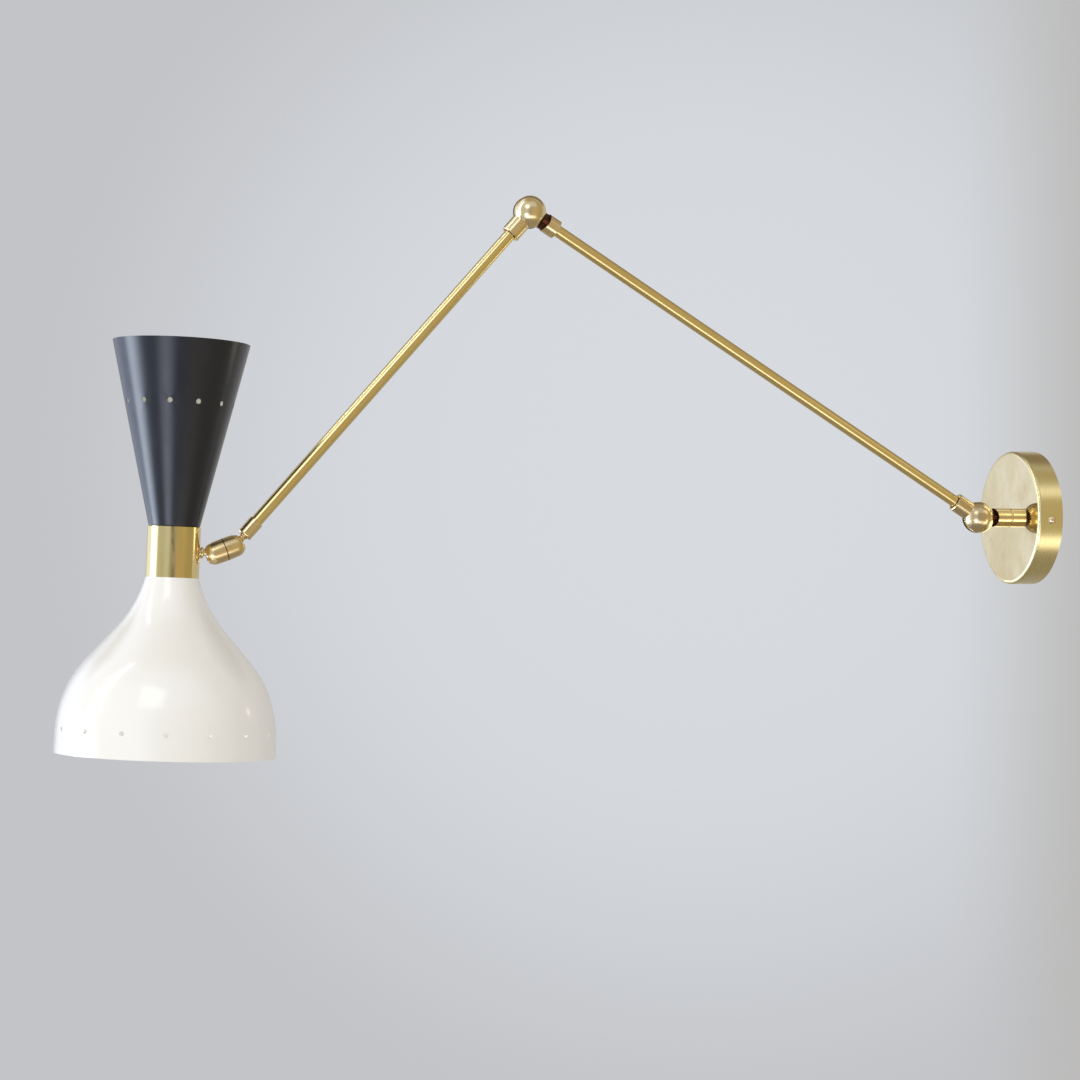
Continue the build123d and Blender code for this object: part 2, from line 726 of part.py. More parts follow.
# Bell shade: the same outline, moved inwards along its normals, makes the inner face
def bell_outline(inset, extra):
    def inward(radius, depth, angle):
        return (radius - inset * cos(angle), depth + inset * sin(angle))

    def arc(radius, depth, from_angle, to_angle, bend_radius):
        new_radius = radius + bend_radius * (cos(from_angle) - cos(to_angle))
        return new_radius, depth + bend_radius * (sin(to_angle) - sin(from_angle))

    neck, flank, skirt = (radians(a) for a in (bell_neck_angle, bell_flank_angle, bell_skirt_angle))
    flare_mid = (neck + flank) / 2
    shoulder_mid = (flank + skirt) / 2
    a = (bell_neck_radius, band_bottom)
    a_mid = arc(*a, neck, flare_mid, bell_flare_radius)
    b = arc(*a, neck, flank, bell_flare_radius)
    c = (b[0] + bell_flank_length * sin(flank), b[1] + bell_flank_length * cos(flank))
    c_mid = arc(*c, flank, shoulder_mid, -bell_shoulder_radius)
    d = arc(*c, flank, skirt, -bell_shoulder_radius)
    length = bell_skirt_length + extra
    e = (d[0] + length * sin(skirt), d[1] + length * cos(skirt))
    start, flare_end, flank_end = inward(*a, neck), inward(*b, flank), inward(*c, flank)
    shoulder_end, rim = inward(*d, skirt), inward(*e, skirt)
    flare = ThreePointArc(start, inward(*a_mid, flare_mid), flare_end)
    shoulder = ThreePointArc(flank_end, inward(*c_mid, shoulder_mid), shoulder_end)
    rest = Polyline(shoulder_end, rim, (0, rim[1]), (0, start[1]), start)
    return make_face([flare, Line(flare_end, flank_end), shoulder, rest])


def bell_shade():
    body = revolve(Plane.XZ * bell_outline(0, 0), Axis.Z)
    hollow = revolve(Plane.XZ * bell_outline(bell_wall, cut_overrun), Axis.Z)
    hollow -= rod(band_radius, 0, band_bottom + bell_wall)
    body -= hollow
    body -= rod(tube_radius + passing_gap, 0, band_bottom + bell_wall + cut_overrun)
    reach = bell_neck_radius + bell_flare_radius
    return body - radial_holes(bell_hole_radius, reach, bell_hole_count, bell_hole_phase, bell_hole_drop)


# Lampholder pieces, from the face that sits on the shade upwards
def holder_cap():
    slope = Cone(cap_foot_radius, cap_radius, cap_slope_height, align=ABOVE)
    body = slope + rod(cap_radius, cap_slope_height, cap_height)
    cuts = [
        rod(tube_radius + screw_fit, -cut_overrun, cap_height),
        rod(cap_inner_radius, cap_floor, cap_height),
        rod(block_seat_radius, cap_ledge, cap_height + cut_overrun),
    ]
    return body - cuts


def holder_skirt():
    body = rod(cap_radius, cap_height, skirt_step) + rod(skirt_radius, skirt_step, skirt_height)
    body = chamfer(top_edges(body), skirt_edge)
    cuts = [
        rod(block_seat_radius, cap_height - cut_overrun, skirt_shoulder),
        rod(shell_ledge_bore, cap_height, skirt_height),
        rod(shell_bore + shell_wall + screw_fit, shell_start, skirt_height + cut_overrun),
    ]
    return body - cuts


def lampholder(name, frame):
    pieces[name + "_holder_cap"] = frame * holder_cap()
    pieces[name + "_holder_skirt"] = frame * holder_skirt()
    pieces[name + "_contact_block"] = frame * rod(contact_block_radius, cap_ledge, skirt_shoulder)
    shell = pipe(shell_bore + shell_wall, shell_bore, shell_start, shell_height)
    pieces[name + "_screw_shell"] = frame * shell
    post_end = skirt_shoulder + contact_post_height
    contact = rod(contact_post_radius, skirt_shoulder, post_end)
    contact += rod(contact_radius, post_end, post_end + contact_thickness)
    pieces[name + "_centre_contact"] = frame * contact


def holder_wires():
    low = -(band_bottom + bell_wall + cap_ledge)
    high = band_top + cone_wall + cap_ledge
    return [Pos(0, side * holder_wire_offset, 0) * rod(wire_radius, low, high) for side in (1, -1)]


def head():
    pieces["head_band"] = head_frame * head_band()
    pieces["head_hub"] = head_frame * head_hub()
    pieces["upper_nipple"] = head_frame * shade_nipple(band_top + cone_wall)
    pieces["lower_nipple"] = bell_frame * shade_nipple(band_bottom + bell_wall)
    pieces["cone_shade"] = head_frame * cone_shade()
    pieces["bell_shade"] = bell_frame * bell_shade()
    lampholder("upper", upper_holder_frame)
    lampholder("lower", lower_holder_frame)
    pieces["holder_wires"] = [head_frame * wire for wire in holder_wires()]


def wall_mount():
    pieces["wall_canopy"] = wall_frame * canopy()
    pieces["canopy_screws"] = [wall_frame * body for body in canopy_screws()]
    pieces["wall_plate"] = wall_frame * wall_plate()
    pieces["earth_screw"] = wall_frame * earth_screw()
    pieces["earth_washer"] = wall_frame * earth_washer()
    pieces["terminal_block"] = wall_frame * terminal_block()
    pieces["terminal_screws"] = [wall_frame * body for body in terminal_screws()]
    pieces["block_screws"] = [wall_frame * body for body in block_screws()]
    pieces["supply_leads"] = [wall_frame * lead for lead in supply_leads()]


wall_mount()
stem_stack()
stem_reach = wall_reach - canopy_depth - stem_washer_thickness
wall_tongue = knuckle_tongue(stem_reach, wall_mouth_gap, with_lip=False, toothed=True)
elbow_tongue = knuckle_tongue(tongue_reach, elbow_mouth_gap, with_lip=True, toothed=False)
knuckle("wall", wall_tongue_frame, inner_arm_frame, wall_tongue)
knuckle("elbow", elbow_tongue_frame, outer_arm_frame, elbow_tongue)
arms()
pieces["arm_end_collar"] = arm_end_frame * arm_end_collar()
double_swivel()
head()

os.makedirs("parts", exist_ok=True)
for name, shape in pieces.items():
    solids = shape if isinstance(shape, list) else shape.solids()
    whole = Compound(children=list(solids)) if len(solids) > 1 else solids[0]
    whole.label = name
    export_step(whole, os.path.join("parts", name + ".step"))
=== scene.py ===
import json
import math

import bmesh
import bpy
from mathutils import Matrix, Vector


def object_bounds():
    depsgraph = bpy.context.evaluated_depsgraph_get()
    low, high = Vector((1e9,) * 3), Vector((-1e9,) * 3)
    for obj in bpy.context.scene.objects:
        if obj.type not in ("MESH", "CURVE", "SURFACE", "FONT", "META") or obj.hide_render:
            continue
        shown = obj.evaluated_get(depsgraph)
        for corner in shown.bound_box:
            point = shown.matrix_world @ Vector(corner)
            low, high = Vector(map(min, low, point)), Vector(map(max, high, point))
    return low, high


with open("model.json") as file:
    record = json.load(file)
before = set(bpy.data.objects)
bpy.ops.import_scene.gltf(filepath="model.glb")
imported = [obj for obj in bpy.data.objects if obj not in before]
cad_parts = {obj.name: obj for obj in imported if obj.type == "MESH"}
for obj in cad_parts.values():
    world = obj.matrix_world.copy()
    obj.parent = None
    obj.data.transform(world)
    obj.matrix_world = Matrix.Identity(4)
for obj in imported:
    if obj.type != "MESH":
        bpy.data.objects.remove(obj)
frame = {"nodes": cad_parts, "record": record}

cad_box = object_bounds()
nodes = frame["nodes"]

# Camera, at the photograph's viewing angle
PICTURE = 1080                       # side of the picture, in pixels
FOCAL_PIXELS = 2582.6                # focal length, in the same pixels
SENSOR = 36.0                        # mm
CAMERA_PLACE = Vector((-1.03846, -2.03693, -0.05529))
CAMERA_TURN = math.radians(16.235)   # to the right of +Y
CAMERA_RISE = math.radians(0.88)
CAMERA_ROLL = math.radians(0.225)

# Directions that the lighting is set out from
LEVEL_RIGHT = Vector((math.cos(CAMERA_TURN), -math.sin(CAMERA_TURN), 0))
LEVEL_FORWARD = Vector((math.sin(CAMERA_TURN), math.cos(CAMERA_TURN), 0))
UP = Vector((0, 0, 1))
MIDDLE = (cad_box[0] + cad_box[1]) / 2

# Backdrop and floor
FLOOR_LEVEL = -1.4
FLOOR_SIZE = 9.0
FLOOR_FADE_START = 1.4               # distances from the middle where the floor starts to fade and is gone
FLOOR_FADE_END = 3.6
FLOOR_ROUGHNESS = 0.9
BACKDROP = (0.545, 0.553, 0.577, 1)
BACKDROP_GLOW = (0.680, 0.705, 0.740, 1)
BACKDROP_SHADE = (0.490, 0.482, 0.468, 1)
GLOW_TURN = math.radians(3.5)        # the glow's middle, to the right of the level direction and above it
GLOW_RISE = math.radians(2.5)
GLOW_REACH = math.radians(15)
SHADE_START = 0.150                  # how far to the right the backdrop's shade starts and is full
SHADE_END = 0.225

# Soft light from all round, brighter from the front left
LIGHT_FROM = (-math.radians(40), -math.radians(3))   # azimuth and rise
LIGHT_NEAR = (1.10, 1.12, 1.17, 1)
LIGHT_FAR = (0.550, 0.505, 0.445, 1)

# Key light and soft boxes, as name, azimuth and rise in degrees, distance, width, height and brightness.
# Those in WINDOWS stand upright, and the others face the lamp's middle
KEY_LIGHT = ("key", -36, 0, 2.5, 1.6, 1.6, 1.40)
WINDOWS = (
    (("window_left", -76, 42, 2.5, 0.22, 4.2, 7.0), (0.92, 0.96, 1.0)),
    (("window_right", 103, 0, 2.5, 0.07, 0.4, 0.5), (1.0, 0.97, 0.90)),
)
SOFT_BOXES = (
    (("window_front", -17, 35, 2.7, 1.10, 1.00, 1.35), (1, 1, 1)),
    (("floor_front", -13, -37, 2.6, 0.50, 0.42, 5.5), (0.94, 0.97, 1.0)),
    (("floor_near", 12, -38, 2.1, 1.00, 0.22, 1.6), (1, 1, 1)),
)

# A lamp that looks up into the bell
BELL_LAMP_DROP = 0.75
BELL_LAMP_SIZE = 0.30
BELL_LAMP_LEVEL = 1.5
BELL_LAMP_SPREAD = math.radians(50)

# Two boxes that only the canopy mirrors, one above and one below it: which side of it, and brightness
WALL_GLOWS = (("wall_glow_high", 1, 0.045), ("wall_glow_low", -1, 0.080))
WALL_GLOW_ASIDE = (0.45, -0.64, 0.62)
WALL_GLOW_DISTANCE = 0.5
WALL_GLOW_SIZE = (0.30, 0.14)
WALL_GLOW_TINT = (1.0, 0.98, 0.92)
WALL_GLOW_SPREAD = math.radians(50)

# The studio's walls, which only reflections show. Azimuths and rises are in degrees
ROOM_RADIUS = 7.0
ROOM_BACK = (0.565, 0.575, 0.600, 1)
# Tones in turn from the back round by the left, each coming in between two azimuths
ROOM_RING = (
    (-150, -128, (1.00, 1.10, 1.38, 1)),
    (-106, -90, (0.74, 0.80, 0.92, 1)),
    (-74, -54, (0.545, 0.560, 0.560, 1)),
    (-36, -26, (0.610, 0.650, 0.700, 1)),
    (-16, -3, (0.370, 0.360, 0.340, 1)),
    (11, 25, (0.490, 0.405, 0.240, 1)),
    (46, 78, (0.400, 0.335, 0.195, 1)),
    (92, 118, (0.560, 0.540, 0.520, 1)),
)
# Tones above and below, with the rises between which each comes in. Those with a depth also come in between
# two shares of the way to the front, where 1 is straight at the front and -1 straight behind
ROOM_FRONT = (0.62, 0.64, 0.67, 1)   # above the camera
ROOM_FRONT_RISE = (26, 40)
ROOM_FRONT_AZIMUTH = (75, 45)
ROOM_FRONT_DEPTH = (-0.1, 0.2)
ROOM_TOP_BACK = (0.22, 0.175, 0.12, 1)
ROOM_TOP_BACK_RISE = (20, 36)
ROOM_TOP_BACK_DEPTH = (-0.20, -0.45)
ROOM_BELOW_BACK = (0.38, 0.37, 0.36, 1)
ROOM_BELOW_BACK_RISE = (-10, -26)
ROOM_BELOW_BACK_DEPTH = (0.0, -0.3)
ROOM_TOP = (0.41, 0.35, 0.26, 1)
ROOM_TOP_RISE = (60, 76)
ROOM_BELOW = (0.31, 0.275, 0.215, 1)
ROOM_BELOW_RISE = (-40, -54)
# Bright patches: the azimuths and rises between which each side comes in and goes out, and the tone
ROOM_PATCHES = (
    ((-150, -138), (-102, -92), (-35, -27), (-16, -4), (2.8, 3.1, 3.6, 1)),
    ((-104, -92), (-90, -62), (-35, -27), (2, 12), (5.6, 6.2, 7.3, 1)),
    ((-44, -26), (-24, 0), (-44, -36), (-22, -10), (2.8, 2.9, 3.4, 1)),
    ((-16, 2), (44, 66), (-50, -40), (-30, -25), (1.25, 1.23, 1.20, 1)),
)

# Frame of the head: its stud's axis crosses the head's axis here
HEAD_LEAN = math.radians(2.0)
HEAD_UP = Vector((math.sin(HEAD_LEAN), 0, math.cos(HEAD_LEAN)))
HEAD_CENTRE = Vector((-0.74662, 0, -0.03433))
CONE_FOOT = (0.0201, 0.0195)         # radius and height of the cone's foot
CONE_RIM = (0.0541, 0.1651)          # radius and height of the cone's rim
CONE_WALL = 0.00103

# Knuckles: the tongue's round end, the reach of the two collars' hollows and the slot in the ball
WALL_PIVOT = Vector((-0.051, 0, 0))
ELBOW_PIVOT = Vector((-0.45524, 0, 0.24675))
TONGUE_END = 0.0129
WALL_MOUTH = 0.0163
ELBOW_MOUTH = 0.0175
SLOT_HALF = 0.00352
SLOT_REACH = 0.0134
SLOT_DARK_START = -0.002             # how far out on the tongue's side the slot's oxide and painted shade starts and is full
SLOT_DARK_END = 0.005

# Barrel and canopy
BARREL_CENTRE = Vector((-0.70580, 0, -0.03244))
SEAM_HALF = 0.00034
CANOPY_FRONT = -0.0205               # the canopy's face lies in front of this
CANOPY_RIM_START = 0.0545            # its rounded rim, by distance from the axis
CANOPY_RIM_END = 0.0560

# Axes of the arms
INNER_RISE = math.radians(31.4)
OUTER_DROP = math.radians(48.7)
BARREL_DROP = math.radians(20.9)
INNER_AXIS = Vector((-math.cos(INNER_RISE), 0, math.sin(INNER_RISE)))
OUTER_AXIS = Vector((-math.cos(OUTER_DROP), 0, -math.sin(OUTER_DROP)))
BARREL_AXIS = Vector((-math.cos(BARREL_DROP), 0, -math.sin(BARREL_DROP)))
WALL_AXIS = Vector((1, 0, 0))
HINGE_AXIS = Vector((0, 1, 0))

# Marks of age and of tools, painted shade and a painted reflection, and the brass of the canopy's side
# A dark brown: oxide with painted shade in the knuckles' hollows, the barrel's dark seam, and a painted dark
# reflection down the band
DARK_BROWN = (0.105, 0.050, 0.028, 1)
STAIN = (0.60, 0.44, 0.24, 1)
SIDE_BRASS = (0.855, 0.745, 0.410, 1)
SIDE_BRASS_DULL = (0.790, 0.680, 0.345, 1)
TOOL_MARKS = 1900.0                  # scale of a turning tool's marks
SIDE_MARKS = 900.0                   # and of those on the canopy's side
SPINNING_MARKS = 300.0               # and of the ridges of the spun bell
REFLECTION_WAY = Vector((-0.1605, -0.9870, 0))   # from the head's axis to the painted dark reflection on the band, on the side that faces the camera
REFLECTION_HALF = 0.0019


def make_camera():
    forward = LEVEL_FORWARD * math.cos(CAMERA_RISE) + UP * math.sin(CAMERA_RISE)
    level_up = LEVEL_RIGHT.cross(forward)
    right = LEVEL_RIGHT * math.cos(CAMERA_ROLL) + level_up * math.sin(CAMERA_ROLL)
    up = level_up * math.cos(CAMERA_ROLL) - LEVEL_RIGHT * math.sin(CAMERA_ROLL)
    data = bpy.data.cameras.new("camera")
    data.sensor_width = SENSOR
    data.lens = SENSOR * FOCAL_PIXELS / PICTURE
    camera = bpy.data.objects.new("camera", data)
    turn = Matrix((right, up, -forward)).transposed().to_4x4()
    camera.matrix_world = Matrix.Translation(CAMERA_PLACE) @ turn
    bpy.context.scene.collection.objects.link(camera)
    bpy.context.scene.camera = camera


class Nodes:
    """A node tree that is built by calls, each of which adds a node and gives its output."""

    def __init__(self, tree):
        self.tree = tree

    def add(self, kind, settings=(), **values):
        made = self.tree.nodes.new(kind)
        for name, value in dict(settings).items():
            setattr(made, name, value)
        for name, value in values.items():
            self.set(made.inputs[name.replace("_", " ")], value)
        return made

    def set(self, socket, value):
        if isinstance(value, bpy.types.NodeSocket):
            self.tree.links.new(value, socket)
        else:
            socket.default_value = value

    def maths(self, operation, a, b=0.0, clamp=False):
        made = self.tree.nodes.new("ShaderNodeMath")
        made.operation = operation
        made.use_clamp = clamp
        self.set(made.inputs[0], a)
        self.set(made.inputs[1], b)
        return made.outputs[0]

    def times(self, a, b):
        return self.maths("MULTIPLY", a, b)

    def plus(self, a, b, clamp=False):
        return self.maths("ADD", a, b, clamp)

    def weighed(self, a, b, weight):
        """Two values added up, the first with a weight and the second with the rest."""
        return self.plus(self.times(a, weight), self.times(b, 1 - weight))

    def vector(self, operation, a, b=None, scale=None):
        made = self.tree.nodes.new("ShaderNodeVectorMath")
        made.operation = operation
        self.set(made.inputs[0], a)
        if b is not None:
            self.set(made.inputs[1], b)
        if scale is not None:
            self.set(made.inputs["Scale"], scale)
        result = "Value" if operation in ("DOT_PRODUCT", "LENGTH") else "Vector"
        return made.outputs[result]

    def ramp(self, value, low, high, out_low=0.0, out_high=1.0):
        """A straight ramp from one value to another, level at both ends."""
        made = self.add("ShaderNodeMapRange", Value=value, From_Min=low, From_Max=high,
                        To_Min=out_low, To_Max=out_high)
        return made.outputs["Result"]

    def soft(self, value, low, high):
        """0 below low, 1 above high and a smooth step between, or the other way round."""
        made = self.add("ShaderNodeMapRange", {"interpolation_type": "SMOOTHSTEP"},
                        Value=value, From_Min=low, From_Max=high)
        return made.outputs["Result"]

    def mix(self, share, a, b):
        made = self.tree.nodes.new("ShaderNodeMix")
        made.data_type = "RGBA"
        self.set(made.inputs["Factor"], share)
        self.set(made.inputs["A"], a)
        self.set(made.inputs["B"], b)
        return made.outputs["Result"]

    def mix_shaders(self, share, a, b):
        made = self.tree.nodes.new("ShaderNodeMixShader")
        for socket, value in zip(made.inputs, (share, a, b)):
            self.set(socket, value)
        return made.outputs[0]


class Material(Nodes):
    """A node material round one Principled shader."""

    def __init__(self, name="look", roughness=0.4, metallic=0.0):
        self.data = bpy.data.materials.new(name)
        self.data.use_nodes = True
        super().__init__(self.data.node_tree)
        self.shader = self.tree.nodes["Principled BSDF"]
        self.feed("Roughness", roughness)
        self.feed("Metallic", metallic)
        self.place = self.add("ShaderNodeTexCoord").outputs["Object"]

    def feed(self, name, value):
        self.set(self.shader.inputs[name], value)

    def show(self, surface):
        """Show another shader than the Principled one."""
        self.set(self.tree.nodes["Material Output"].inputs["Surface"], surface)

    def noise(self, scale, detail=3.0, roughness=0.55, place=None):
        place = self.place if place is None else place
        made = self.add("ShaderNodeTexNoise", Vector=place, Scale=scale, Detail=detail, Roughness=roughness)
        return made.outputs["Fac"]

    def wander(self, scale):
        """A vector that drifts from place to place."""
        made = self.add("ShaderNodeTexNoise", Vector=self.place, Scale=scale, Detail=1.0)
        return self.vector("SUBTRACT", made.outputs["Color"], (0.5, 0.5, 0.5))

    def rings(self, scale, along, detail=3.0):
        """Noise that changes only along a line, as the marks of a turning tool do."""
        made = self.add("ShaderNodeTexNoise", {"noise_dimensions": "1D"}, W=along, Scale=scale, Detail=detail)
        return made.outputs["Fac"]

    def bump(self, height, depth, strength=1.0, normal=None):
        made = self.add("ShaderNodeBump", Height=height, Distance=depth, Strength=strength)
        if normal is not None:
            self.set(made.inputs["Normal"], normal)
        return made.outputs["Normal"]

    def along(self, axis, origin=Vector((0, 0, 0))):
        """Distance along an axis."""
        return self.vector("DOT_PRODUCT", self.vector("SUBTRACT", self.place, origin), axis)

    def stretched(self, axis, keep):
        """The place with its part along an axis drawn out, for streaks that run that way."""
        part = self.vector("SCALE", tuple(axis), scale=self.along(axis))
        return self.vector("SUBTRACT", self.place, self.vector("SCALE", part, scale=1 - keep))


def colour(red, green, blue):
    return (red, green, blue, 1)


def brass(bright, dull, rough, axis, cloud=0.0, cloud_scale=30.0, stretch=1.0, dark=None):
    """Brass: two tints in soft patches, roughness that follows them, tool marks, and dark brown where a mask
    is given: oxide with painted shade in recesses, a dark seam, or a painted dark reflection.
    """
    made = Material(metallic=1.0)
    place = made.stretched(axis, stretch)
    patches = made.ramp(made.noise(cloud_scale, 5.0, 0.62, place), 0.36, 0.66)
    fine = made.noise(cloud_scale * 9, 3.0, 0.6, place)
    share = made.weighed(patches, fine, 0.75)
    lines = made.rings(TOOL_MARKS, made.along(axis))
    shade = made.ramp(lines, 0.3, 0.75, 1.0, 0.97)
    tone = made.vector("SCALE", made.mix(share, bright, dull), scale=shade)
    grain = made.times(share, cloud)
    scratch = made.times(lines, 0.2 * rough)
    gloss = made.plus(made.plus(grain, scratch), rough, clamp=True)
    if dark is not None:
        # dark brown where the mask says: oxide with painted shade, a dark seam or a painted dark reflection
        darkened = dark(made)
        tone = made.mix(darkened, tone, DARK_BROWN)
        gloss = made.plus(gloss, made.times(darkened, 0.3))
    made.feed("Base Color", tone)
    made.feed("Roughness", gloss)
    return made.data


def from_hinge(made, pivot):
    """Distance from a knuckle's hinge axis."""
    flat = made.vector("MULTIPLY", made.vector("SUBTRACT", made.place, pivot), (1, 0, 1))
    return made.vector("LENGTH", flat)


def mouth(pivot, reach):
    """1 between a tongue's round end and the hollow of its collar: there the brass gets oxide and painted
    shade.
    """
    def mask(made):
        radius = from_hinge(made, pivot)
        past_end = made.maths("GREATER_THAN", radius, TONGUE_END)
        return made.times(past_end, made.maths("LESS_THAN", radius, reach))
    return mask


def slot(pivot, way, least):
    """Oxide and painted shade on the walls of a ball's slot: full where the tongue comes out, least on the
    far side.
    """
    def mask(made):
        across = made.maths("ABSOLUTE", made.along(HINGE_AXIS))
        inside = made.maths("LESS_THAN", from_hinge(made, pivot), SLOT_REACH)
        walls = made.times(made.maths("LESS_THAN", across, SLOT_HALF), inside)
        side = made.soft(made.along(way, pivot), SLOT_DARK_START, SLOT_DARK_END)
        return made.times(walls, made.ramp(side, 0.0, 1.0, least, 1.0))
    return mask


def seam(made):
    """1 in the fine groove where the halves of the barrel meet."""
    from_groove = made.maths("ABSOLUTE", made.along(BARREL_AXIS, BARREL_CENTRE))
    return made.maths("LESS_THAN", from_groove, SEAM_HALF)


def painted_reflection(made):
    """A painted dark reflection: a dark stripe down the side of the band that faces the camera, broken up by
    noise.
    """
    from_centre = made.vector("SUBTRACT", made.place, HEAD_CENTRE)
    aside = made.maths("ABSOLUTE", made.vector("DOT_PRODUCT", from_centre, REFLECTION_WAY.cross(UP)))
    near = made.ramp(aside, 0.0, REFLECTION_HALF, 1.0, 0.0)
    front = made.maths("GREATER_THAN", made.vector("DOT_PRODUCT", from_centre, REFLECTION_WAY), 0.0)
    broken = made.ramp(made.noise(150.0, 4.0, 0.65, made.stretched(HEAD_UP, 0.3)), 0.42, 0.58)
    return made.times(made.times(near, front), made.times(broken, 0.85))


def canopy_brass(bright, dull):
    """Polished brass: a cloudy, wiped face with fine stains, and a satin rim and side."""
    made = Material(metallic=1.0)
    drift = made.vector("SCALE", made.wander(30.0), scale=0.012)
    place = made.vector("ADD", made.stretched(UP, 0.8), drift)
    clouds = made.soft(made.noise(24.0, 3.0, 0.5, place), 0.38, 0.62)
    wisps = made.soft(made.noise(70.0, 4.0, 0.62, place), 0.42, 0.70)
    share = made.weighed(clouds, wisps, 0.65)
    stain = made.ramp(made.noise(110.0, 5.0, 0.7, place), 0.60, 0.72, 0.0, 0.5)
    face_tone = made.mix(stain, made.mix(share, bright, dull), STAIN)
    face = made.maths("LESS_THAN", made.along(WALL_AXIS), CANOPY_FRONT)
    turned = made.rings(SIDE_MARKS, made.along(WALL_AXIS))
    side_tone = made.mix(made.noise(40.0, 4.0), SIDE_BRASS, SIDE_BRASS_DULL)
    from_axis = made.vector("LENGTH", made.vector("MULTIPLY", made.place, (0, 1, 1)))
    rim = made.soft(from_axis, CANOPY_RIM_START, CANOPY_RIM_END)
    made.feed("Base Color", made.mix(face, side_tone, made.mix(rim, face_tone, side_tone)))
    wiped = made.ramp(share, 0.0, 1.0, 0.035, 0.115)
    face_gloss = made.plus(wiped, made.times(rim, 0.24))
    side_gloss = made.ramp(turned, 0.3, 0.7, 0.24, 0.30)
    side = made.maths("SUBTRACT", 1.0, face)
    gloss = made.plus(made.times(face, face_gloss), made.times(side, side_gloss))
    made.feed("Roughness", gloss)
    return made.data


def steel():
    """Zinc-plated steel, with a faint spangle."""
    made = Material(metallic=1.0)
    spots = made.noise(240.0, 4.0)
    made.feed("Base Color", made.mix(spots, colour(0.60, 0.61, 0.63), colour(0.76, 0.76, 0.75)))
    made.feed("Roughness", made.ramp(spots, 0.3, 0.7, 0.26, 0.4))
    made.feed("Normal", made.bump(made.noise(700.0), 0.00002))
    return made.data


def plain(tone, other, rough):
    """Moulded or glazed material: two near tones, uneven gloss and a fine skin."""
    made = Material()
    spots = made.ramp(made.noise(60.0, 4.0), 0.35, 0.65)
    made.feed("Base Color", made.mix(spots, tone, other))
    made.feed("Roughness", made.ramp(spots, 0.0, 1.0, rough * 0.9, rough * 1.15))
    made.feed("Normal", made.bump(made.noise(500.0, 2.0), 0.00001))
    return made.data


def cone_inside(made):
    """1 on the inner face of the cone and on its floor, 0 on the outside."""
    from_centre = made.vector("SUBTRACT", made.place, HEAD_CENTRE)
    height = made.vector("DOT_PRODUCT", from_centre, HEAD_UP)
    part = made.vector("SCALE", tuple(HEAD_UP), scale=height)
    radius = made.vector("LENGTH", made.vector("SUBTRACT", from_centre, part))
    slope = (CONE_RIM[0] - CONE_FOOT[0]) / (CONE_RIM[1] - CONE_FOOT[1])
    above_foot = made.maths("SUBTRACT", height, CONE_FOOT[1])
    outside = made.plus(made.times(above_foot, slope), CONE_FOOT[0])
    inside_wall = made.maths("LESS_THAN", radius, made.maths("SUBTRACT", outside, CONE_WALL / 2))
    above_floor = made.maths("GREATER_THAN", height, CONE_FOOT[1] + CONE_WALL / 2)
    return made.times(inside_wall, above_floor)


def black_enamel():
    """Satin black powder coat with a fine orange peel, cream inside the cone."""
    made = Material()
    inside = cone_inside(made)
    spots = made.noise(35.0, 4.0)
    outer = made.mix(spots, colour(0.0010, 0.0038, 0.0115), colour(0.0022, 0.0054, 0.0140))
    inner = made.mix(spots, colour(0.80, 0.77, 0.69), colour(0.84, 0.81, 0.74))
    made.feed("Base Color", made.mix(inside, outer, inner))
    outer_rough = made.ramp(made.noise(50.0, 3.0), 0.3, 0.7, 0.20, 0.25)
    made.feed("Roughness", made.plus(outer_rough, made.times(inside, 0.1)))
    made.feed("Normal", made.bump(made.noise(800.0, 2.0, 0.5), 0.000030, 0.6))
    made.feed("IOR", 1.60)
    return made.data


def cream_enamel():
    """Glossy cream enamel over a spun shade, a little uneven."""
    made = Material(roughness=0.2)
    spots = made.ramp(made.noise(16.0, 3.0), 0.3, 0.7)
    made.feed("Base Color", made.mix(spots, colour(0.868, 0.845, 0.775), colour(0.882, 0.862, 0.800)))
    spun = made.rings(SPINNING_MARKS, made.along(HEAD_UP, HEAD_CENTRE), detail=2.0)
    ridges = made.bump(spun, 0.000015, strength=0.3)
    made.feed("Normal", made.bump(made.noise(110.0, detail=2.0), 0.00003, strength=0.4, normal=ridges))
    made.feed("Coat Weight", 1.0)
    made.feed("Coat Roughness", 0.08)
    return made.data


